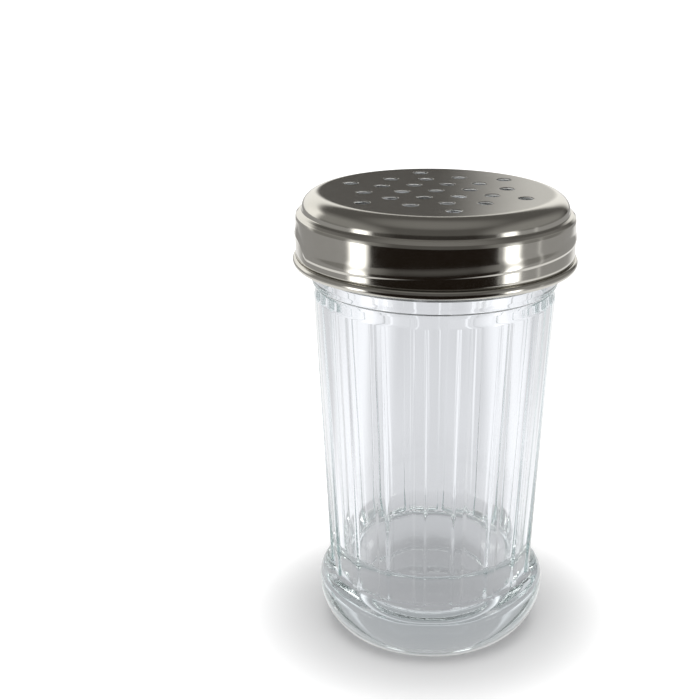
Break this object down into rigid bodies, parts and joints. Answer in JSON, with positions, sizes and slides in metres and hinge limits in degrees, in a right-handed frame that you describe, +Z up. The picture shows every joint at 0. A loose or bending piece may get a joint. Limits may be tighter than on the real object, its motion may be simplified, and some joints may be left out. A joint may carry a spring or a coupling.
{
  "type": "parmesan shaker",
  "caption": "Fluted glass jar with a flared foot and a screw-on pressed metal lid whose flat top is perforated for shaking out grated cheese.",
  "frame": {"origin": "on the jar's axis, in the plane of the foot it stands on", "axes": "+Z up along the axis towards the lid; -Y towards the viewer of the picture; +X to the viewer's right"},
  "size_m": [0.084, 0.084, 0.1394],
  "materials": {
    "glass": "clear pressed glass with a faint green tint, fire-polished gloss",
    "steel": "bright polished stainless sheet, pressed"
  },
  "bodies": {
    "jar": {"jar": "glass"},
    "lid_rim": {"lid_rim": "steel"},
    "lid": {"lid": "steel"}
  },
  "joints": [
    {"name": "lid_rise", "type": "slide", "parent": "jar", "child": "lid_rim", "axis": [0, 0, 1], "range_m": [0, 0.02]},
    {"name": "lid_turn", "type": "hinge", "parent": "lid_rim", "child": "lid", "pos_m": [0, 0, 0.13], "axis": [0, 0, 1], "range_deg": [0, 720]}
  ],
  "couplings": [
    {"joint": "lid_rise", "follows": "lid_turn", "m_per_rad": 0.0015915}
  ]
}
